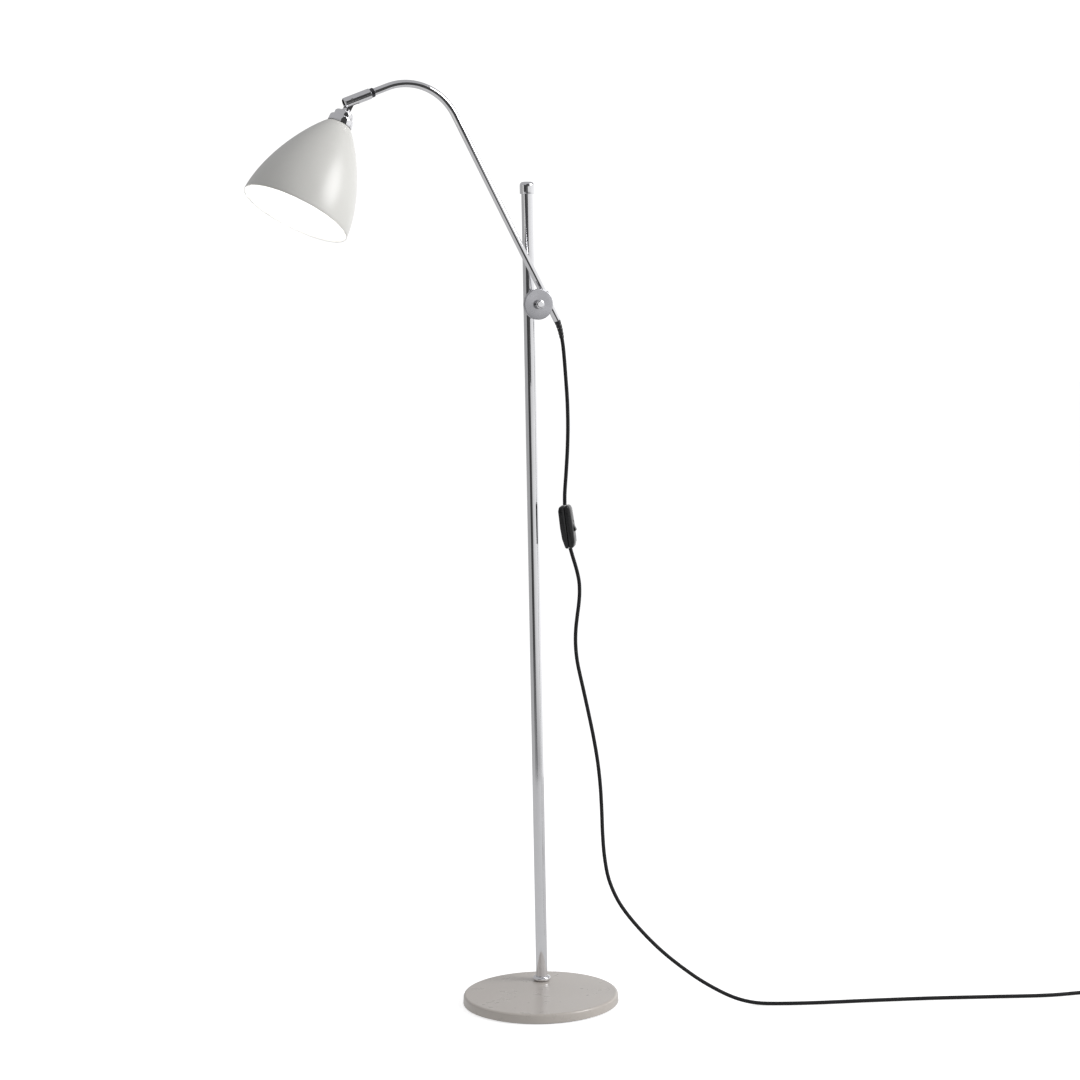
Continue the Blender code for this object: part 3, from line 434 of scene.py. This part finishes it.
def add_boot():
    """The strain relief: a plug in the arm's end, then a ribbed sleeve that tapers round the lead."""
    sleeve = hanging[:boot_points + 1]
    along = (sleeve[1] - sleeve[0]).normalized()
    arm_line = Vector((math.cos(ARM_ANGLE), 0, -math.sin(ARM_ANGLE)))
    route = [TAIL - 0.0085 * arm_line, TAIL + GAP * arm_line, TAIL + 0.0004 * arm_line,
             TAIL + 0.0016 * along]
    radii = [0.0037, 0.0037, 0.0044, 0.0045]
    for i, point in enumerate(sleeve[1:], start=1):
        width = 0.0045 - 0.0013 * i / boot_points
        after = sleeve[min(i + 1, boot_points)]
        if i % 2 or i == boot_points:
            route.append(point)
            radii.append(width)
        else:
            route += [point, point.lerp(after, 0.25), point.lerp(after, 0.60), point.lerp(after, 0.85)]
            radii += [width, width - 0.0004, width - 0.0004, width - 0.0001]
    piece = add_piece("ribbed_boot", tube(route, radii, 28), UPRIGHT, PLASTIC, 50)
    stand_for(piece, "arm", "cord_boot")


add_boot()


# Base and pole --------------------------------------------------------------------------------

BASE_CENTRE = (-0.0243, -0.0551, 0)
POLE_RADIUS = 0.008


def add_base():
    """A painted shell over the weight, and the felt below. The pole stands off the base's centre."""
    centre = Matrix.Translation(BASE_CENTRE)
    radius, height, low, wall = 0.108, 0.0145, 0.0018, 0.0012
    flat = [(share * (radius - 0.0043), height) for share in (0, 0.25, 0.5, 0.75, 1)]
    profile = [*flat, *arc((radius - 0.0041, height - 0.0035), 0.0035, 90, 6, 12),
               *arc((radius - 0.0006, low + 0.0006), 0.0006, 0, -90, 4),
               (radius - wall, low), (radius - wall, height - 0.003), (radius - 0.004, height - wall),
               (0, height - wall)]
    cover = add_piece("base_shell", turned(profile, 180), centre, PAINT)
    stand_for(cover, "stand", "base_cover")
    pad, top = 0.103, 0.0015
    felt = [(0, top), (pad - 0.0003, top), (pad, top - 0.0003), (pad, 0), (0, 0)]
    stand_for(add_piece("felt_pad", turned(felt, 120), centre, FELT), "stand", "foot_pad")


def add_pole():
    foot, top, bore = 0.0148, 1.1275, 0.0068
    tube_wall = [(bore, top), (POLE_RADIUS - 0.0002, top), (POLE_RADIUS, top - 0.0002),
                 (POLE_RADIUS, foot), (bore, foot)]
    stand_for(add_piece("pole_tube", turned(tube_wall, 96, closed=True), UPRIGHT, CHROME), "stand", "pole")
    inside = POLE_RADIUS + GAP
    collar = [(inside, foot + 0.006), *arc((0.0096, foot + 0.003), 0.003, 90, -90, 16), (inside, foot)]
    stand_for(add_piece("foot_ring", turned(collar, 96, closed=True), UPRIGHT, CHROME),
              "stand", "pole_collar")
    low, crown = top - 0.010, top + 0.0065
    cap = [(0, crown), *arc((0.005, crown - 0.005), 0.005, 88, 0, 12),
           *arc((0.0096, low + 0.0004), 0.0004, 0, -90, 3), (inside, low), (inside, top + GAP),
           (0.0065, top + GAP), (0.0065, low + 0.001), (0, low + 0.001)]
    stand_for(add_piece("pole_end", turned(cap, 72), UPRIGHT, CHROME), "stand", "pole_cap")


add_base()
add_pole()


# Clamp, knob and arm --------------------------------------------------------------------------

STUD = placed((0, 0, CLAMP_Z), (0, -1, 0), (1, 0, 0))
ARM_RADIUS = 0.005


def add_knob():
    low, high, radius = 0.0297, 0.0357, 0.021
    disc = [(0.0066, high), (0.0066, high - 0.0003), (0.0076, high - 0.0003), (0.0076, high),
            *arc((radius - 0.0009, high - 0.0009), 0.0009, 90, 0, 5),
            *arc((radius - 0.0009, low + 0.0009), 0.0009, 0, -90, 5), (0.0033, low), (0.0033, high)]
    stand_for(add_piece("knob_disc", turned(disc, 128, closed=True), STUD, SATIN), "knob", "clamp_disc")
    low, high, radius = 0.0360, 0.0430, 0.0062
    nut = [(0, high), *arc((radius - 0.0026, high - 0.0026), 0.0026, 85, 0, 8), (radius, low + 0.0016),
           (radius - 0.0004, low + 0.0013), (radius - 0.0004, low + 0.0009), (radius, low + 0.0006),
           (radius, low), (0.0033, low), (0.0033, 0.0385), (0, 0.0385)]
    stand_for(add_piece("knob_button", turned(nut, 72), STUD, CHROME), "knob", "cap_nut")


def add_arm():
    """The arm's tube: straight, one bend, and a straight tip, open at both ends."""
    length, tip_length, wall, bore_depth, steps, sides = 0.3125, 0.036, 0.001, 0.008, 48, 48
    sweep = ARM_ANGLE + TIP_ANGLE
    turns = [ARM_ANGLE - sweep * i / steps for i in range(steps + 1)]
    bend = [BEND_CENTRE + BEND_RADIUS * Vector((math.sin(a), 0, math.cos(a))) for a in turns]
    back = Vector((math.cos(ARM_ANGLE), 0, -math.sin(ARM_ANGLE)))
    straight = [bend[0] + length * share * back for share in (1.0, 0.999, 0.5, 0.02)]
    tip = [bend[-1] + reach * TIP_AXIS for reach in (0.002, tip_length - 0.0005, tip_length)]
    path = [*straight, *bend, *tip]
    end_radius = ARM_RADIUS - 0.0001
    bm = tube(path, [end_radius, *[ARM_RADIUS] * (len(path) - 2), end_radius], sides)
    ends = [face for face in bm.faces if len(face.verts) == sides]
    for face in ends:
        bmesh.ops.inset_individual(bm, faces=[face], thickness=wall)
        bmesh.ops.translate(bm, verts=face.verts, vec=-bore_depth * face.normal)
    stand_for(add_piece("arm_pipe", bm, UPRIGHT, CHROME), "arm", "arm_tube")


add_knob()
add_arm()
for node, body in (("clamp_ring", "clamp"), ("arm_holder", "arm"), ("shade_stem", "head")):
    refined(node, body, CHROME, 0.00025)


# Shade, neck and bulb -------------------------------------------------------------------------

TIP_TURN, HEAD_TILT = math.radians(9.9), math.radians(39.9)
BEND_END = BEND_CENTRE + BEND_RADIUS * Vector((TIP_AXIS.z, 0, -TIP_AXIS.x))
HINGE_AT = 0.054
BELOW = (Vector((0, 0, -1)) + TIP_AXIS.z * TIP_AXIS).normalized()
SLOT_SIDE = math.cos(TIP_TURN) * BELOW + math.sin(TIP_TURN) * Vector((0, -1, 0))
TIP = placed(BEND_END, TIP_AXIS, SLOT_SIDE)
HEAD = placed(BEND_END + HINGE_AT * TIP_AXIS,
              math.cos(HEAD_TILT) * TIP_AXIS + math.sin(HEAD_TILT) * SLOT_SIDE, SLOT_SIDE)
SHADE_TOP, SHADE_RIM = 0.0370, 0.1719
SHADE_NECK, SHADE_MOUTH = 0.0162, 0.0739
WALL = 0.0011
HOLDER_RADIUS = 0.0130


def carve(piece, *cutters):
    """Cuts the given solids out of a piece, and takes them away."""
    for cutter in cutters:
        cut = piece.modifiers.new("Cut", "BOOLEAN")
        cut.operation = "DIFFERENCE"
        cut.object = cutter
    mesh = bpy.data.meshes.new_from_object(piece.evaluated_get(bpy.context.evaluated_depsgraph_get()))
    piece.modifiers.clear()
    piece.data = mesh
    mesh.shade_smooth()
    mesh.set_sharp_from_angle(angle=math.radians(30))
    even = piece.modifiers.new("Even_normals", "WEIGHTED_NORMAL")
    even.keep_sharp = True
    for cutter in cutters:
        bpy.data.objects.remove(cutter)


def add_tip():
    """The arm's end collar, in a darker copy of its chrome as painted shade for its dark reflection band,
    and the slotted socket with a hole for the hinge pin.
    """
    low, high, radius = 0.0204, 0.0256, 0.0063
    collar = [(0.0053, low), (0.0059, low), (radius, low + 0.0004), (radius, high - 0.0004),
              (0.0059, high), (0.0053, high)]
    stand_for(add_piece("collar_with_painted_shade", turned(collar, 96, closed=True), TIP, PAINTED_SHADE_METAL), "arm", "tip_collar")
    low, high, radius, bore, seat = 0.0259, 0.0646, 0.0073, 0.0053, 0.038
    body = [(0, high), *arc((radius - 0.0015, high - 0.0015), 0.0015, 88, 0, 10), (radius, low + 0.0004),
            (radius - 0.0004, low), (bore, low), (bore, seat), (0, seat)]
    piece = add_piece("socket_body", turned(body, 128), TIP, CHROME)
    slot = bmesh.new()
    bmesh.ops.create_cube(slot, size=1.0)
    middle, size = (0.00325, 0, HINGE_AT + 0.0035), (0.0175, 0.0078, 0.024, 1)
    slot.transform(Matrix.Translation(middle) @ Matrix.Diagonal(size))
    hole = bmesh.new()
    bmesh.ops.create_cone(hole, cap_ends=True, segments=32, radius1=0.0019, radius2=0.0019, depth=0.02)
    hole.transform(Matrix.Translation((0, 0, HINGE_AT)) @ Matrix.Rotation(math.pi / 2, 4, "X"))
    carve(piece, add_piece("slot", slot, TIP, CHROME), add_piece("hole", hole, TIP, CHROME))
    stand_for(piece, "socket", "tip_socket")


def shade_radius(share):
    """The bell's radius at a share of its height: a rounded crown, then nearly straight sides."""
    return SHADE_NECK + (SHADE_MOUTH - SHADE_NECK) * (1 - (1 - share) ** 1.675) ** (1 / 1.117)


def add_shade():
    steps = 56
    shares = [(i / steps) ** 1.5 for i in range(steps + 1)]
    outer = [(shade_radius(s), SHADE_TOP + (SHADE_RIM - SHADE_TOP) * s) for s in shares]
    inner = []
    for before, here, after in zip(outer[:1] + outer, outer, outer[1:] + outer[-1:]):
        slope = Vector((after[0] - before[0], after[1] - before[1])).normalized()
        inner.append((here[0] - WALL * slope.y, here[1] + WALL * slope.x))
    hole = 0.0072
    inner[:1] = [(hole, SHADE_TOP + WALL), (0.0154, SHADE_TOP + WALL)]
    lip = arc((SHADE_MOUTH - WALL / 2, SHADE_RIM - WALL / 2), WALL / 2, 0, 180, 6)
    profile = [*inner[:-1], *lip[::-1], *outer[-2::-1], (hole, SHADE_TOP)]
    bm = turned(profile, 180, closed=True)
    bmesh.ops.recalc_face_normals(bm, faces=bm.faces)
    for face in bm.faces:
        middle = face.calc_center_median()
        outward = Vector((middle.x, middle.y, 0)).normalized()
        face.material_index = int(face.normal.dot(outward) - face.normal.z < 0.2)
    piece = add_piece("bell_shade", bm, HEAD, ENAMEL)
    piece.data.materials.append(INNER)
    stand_for(piece, "head", "shade")


def add_neck():
    bore, small, large, wall = 0.0057, 0.0134, 0.0171, 0.0013
    top, step, foot, plate = 0.0185, 0.0268, SHADE_TOP - GAP, 0.0207
    profile = [(bore, top), *arc((small - 0.003, top + 0.003), 0.003, 270, 352, 8),
               (small - 0.0002, step - 0.0006), (small - 0.0006, step - 0.0002),
               (small - 0.0006, step + 0.0002),
               *arc((large - 0.002, step + 0.0022), 0.002, 270, 352, 8),
               (large, foot - 0.0014), (large - 0.0005, foot - 0.0012), (large - 0.0005, foot - 0.0007),
               (large, foot - 0.0005), (large, foot), (large - wall, foot), (large - wall, step + 0.003),
               (small - wall, step + 0.0013), (small - wall, plate), (bore, plate)]
    stand_for(add_piece("neck_cap", turned(profile, 96, closed=True), HEAD, CHROME, 30),
              "head", "holder_cap")


def add_bulb():
    """The lampholder's ribbed body, and a small bulb with a threaded cap."""
    top = SHADE_TOP
    groove = HOLDER_RADIUS - 0.0003
    ribs = []
    for i in range(8):
        z = top + 0.0165 + 0.0014 * i
        ribs += [(HOLDER_RADIUS, z), (groove, z + 0.0005), (groove, z + 0.0009)]
    body = [(0, 0.0268), (0.0069, 0.0268), (0.0069, top + WALL + GAP), (0.0125, top + WALL + GAP),
            (HOLDER_RADIUS, top + 0.0040), *ribs, (HOLDER_RADIUS, top + 0.0278), (0.0128, top + 0.0280),
            (0.0082, top + 0.0280), (0.0080, top + 0.0278), (0.0080, top + 0.0100), (0, top + 0.0100)]
    stand_for(add_piece("lampholder_body", turned(body, 72), HEAD, CERAMIC, 30), "head", "lampholder")
    low, high = top + 0.0121, top + 0.0288
    thread = []
    for i in range(4):
        z = low + 0.0052 + 0.0025 * i
        thread += [(0.0064, z), (0.0070, z + 0.0008), (0.0070, z + 0.0013), (0.0064, z + 0.0021)]
    cap = [(0, low), (0.004, low), (0.0064, low + 0.004), *thread, (0.0070, high - 0.001), (0.0070, high),
           (0, high)]
    stand_for(add_piece("bulb_thread", turned(cap, 64), HEAD, BRASS, 50), "head", "bulb_cap")
    centre, globe = high + 0.0300, 0.0190
    pear = [(0, high + GAP), (0.0066, high + GAP), (0.0070, high + 0.0050), (0.0076, high + 0.0100),
            *arc((0, centre), globe, -58, 88, 24), (0, centre + globe)]
    stand_for(add_piece("bulb_pear", turned(pear, 72), HEAD, GLASS, 60), "head", "bulb_glass")


add_tip()
add_shade()
add_neck()
add_bulb()


# The other parts keep their CAD shape ---------------------------------------------------------

KEPT = {
    STEEL: ["base_bolt", "base_washer", "pole_insert", "clamp_stud", "holder_screw", "spring_washer",
            "hinge_pin", "socket_screw", "stem_nut", "switch_screw_1", "switch_screw_2"],
    IRON: ["base_weight"],
    BRASS: ["pressure_pad", "switch_contact_1", "switch_contact_2", "lampholder_contact"],
    PLASTIC: ["rear_washer", "lampholder_ring"],
    SHEATH: ["inner_cable"],
    NYLON: ["slide_liner"],
}
for material, names in KEPT.items():
    for name in names:
        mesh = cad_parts[name].data
        mesh.materials.clear()
        mesh.materials.append(material)


# Studio ---------------------------------------------------------------------------------------

def plain(name, colour, glow):
    """A stage finish: a matt colour that also glows a little, so the floor stays pale."""
    material = bpy.data.materials.new(name)
    material.use_nodes = True
    shader = material.node_tree.nodes["Principled BSDF"]
    shader.inputs["Base Color"].default_value = (*colour, 1)
    shader.inputs["Roughness"].default_value = 0.9
    shader.inputs["Specular IOR Level"].default_value = 0.1
    shader.inputs["Emission Color"].default_value = (1, 1, 1, 1)
    shader.inputs["Emission Strength"].default_value = glow
    return material


def seen_by(piece, *rays):
    """Only these kinds of ray see the piece, and it throws no shadow."""
    for kind in ("camera", "diffuse", "glossy", "transmission", "volume_scatter", "shadow"):
        setattr(piece, f"visible_{kind}", kind in rays)


def add_card(name, centre, facing, size, material):
    """A flat card on a stand somewhere in the studio, which only polished metal shows."""
    bm = bmesh.new()
    bmesh.ops.create_grid(bm, x_segments=1, y_segments=1, size=0.5)
    bmesh.ops.scale(bm, verts=bm.verts, vec=(*size, 1))
    card = add_piece(name, bm, placed(centre, facing, (1, 0, 0.01)), material)
    seen_by(card, "glossy")
    return card


def add_stage():
    bm = bmesh.new()
    bmesh.ops.create_circle(bm, cap_ends=True, segments=64, radius=16.0)
    floor = add_piece("floor", bm, UPRIGHT, plain("floor_white", (0.62, 0.62, 0.62), 0.74))
    seen_by(floor, "camera")
    bm = bmesh.new()
    bmesh.ops.create_circle(bm, cap_ends=True, segments=64, radius=1.5)
    near_floor = add_piece("near_floor", bm, Matrix.Translation((0, 0, -0.001)),
                           plain("near_floor_grey", (0.3, 0.3, 0.3), 0.34))
    seen_by(near_floor, "diffuse", "glossy")
    bm = bmesh.new()
    bmesh.ops.create_icosphere(bm, subdivisions=4, radius=18.0)
    backdrop = add_piece("backdrop", bm, UPRIGHT, plain("backdrop_white", (0, 0, 0), 1.1))
    seen_by(backdrop, "camera")
    black = plain("card_black", (0.01, 0.01, 0.01), 0.045)
    low_card = add_card("low_card", (-0.18, -0.50, 1.00), (-0.2, 0.98, 0), (0.22, 0.34), black)
    high_card = add_card("high_card", (-0.09, -0.50, 1.36), (-0.1, 0.99, 0), (0.46, 0.42), black)


def ramp(tree, share, *stops):
    """A grey that changes with share, through the given (place, value) stops."""
    node = add_node(tree, "ShaderNodeValToRGB", {"Fac": share})
    while len(node.color_ramp.elements) < len(stops):
        node.color_ramp.elements.new(0.5)
    for stop, (place, value) in zip(node.color_ramp.elements, stops):
        stop.position = place
        stop.color = (value, value, value, 1)
    return node.outputs["Color"]


def add_world():
    """Light from all round: a dimmer left side, a dark gap near the camera, a bright right side."""
    world = bpy.data.worlds.new("studio")
    bpy.context.scene.world = world
    world.use_nodes = True
    tree = world.node_tree
    yaw = VIEW_YAW
    where = add_node(tree, "ShaderNodeTexCoord").outputs["Generated"]
    side = add_node(tree, "ShaderNodeVectorMath", {0: where, 1: (math.cos(yaw), -math.sin(yaw), 0)},
                    operation="DOT_PRODUCT")
    near = add_node(tree, "ShaderNodeVectorMath", {0: where, 1: (-math.sin(yaw), -math.cos(yaw), 0)},
                    operation="DOT_PRODUCT")
    turn = add_node(tree, "ShaderNodeMath", {0: side.outputs["Value"], 1: near.outputs["Value"]},
                    operation="ARCTAN2")
    share = add_node(tree, "ShaderNodeMapRange", {"Value": turn.outputs[0], "From Min": -math.pi,
                                                  "From Max": math.pi})
    level = ramp(tree, share.outputs[0],
                 (0.0, 0.48), (0.30, 0.37), (0.338, 0.48), (0.352, 0.05), (0.468, 0.045), (0.488, 0.48),
                 (0.53, 0.68), (0.62, 0.78), (0.75, 0.95), (1.0, 1.12))
    low = ramp(tree, share.outputs[0],
               (0.0, 0.50), (0.44, 0.55), (0.47, 0.05), (0.66, 0.05), (0.70, 0.60), (1.0, 0.75))
    height = add_node(tree, "ShaderNodeSeparateXYZ", {0: where}).outputs["Z"]
    above = add_node(tree, "ShaderNodeMapRange", {"Value": height, "From Min": 0.04, "From Max": 0.50},
                     interpolation_type="SMOOTHSTEP")
    below = add_node(tree, "ShaderNodeMapRange", {"Value": height, "From Min": -0.14, "From Max": -0.26},
                     interpolation_type="SMOOTHSTEP")
    round_about = add_node(tree, "ShaderNodeMix", {"Factor": below.outputs[0]}, data_type="RGBA")
    tree.links.new(level, round_about.inputs["A"])
    tree.links.new(low, round_about.inputs["B"])
    mixed = add_node(tree, "ShaderNodeMix", {"Factor": above.outputs[0]}, data_type="RGBA")
    mixed.inputs["B"].default_value = (0.43, 0.43, 0.44, 1)
    tree.links.new(round_about.outputs["Result"], mixed.inputs["A"])
    background = tree.nodes["Background"]
    tree.links.new(mixed.outputs["Result"], background.inputs["Color"])


def add_light(name, place, aim, size, power):
    data = bpy.data.lights.new(name, "AREA")
    data.shape = "DISK"
    data.size = size
    data.energy = power
    light = bpy.data.objects.new(name, data)
    bpy.context.scene.collection.objects.link(light)
    light.matrix_world = placed(place, Vector(place) - Vector(aim), (1, 0.3, 0))
    light.visible_camera = False


add_stage()
add_world()
add_light("key_light", (2.2, -1.6, 2.4), (0, 0, 0.8), 1.8, 60)
bpy.context.scene.view_settings.view_transform = "Standard"
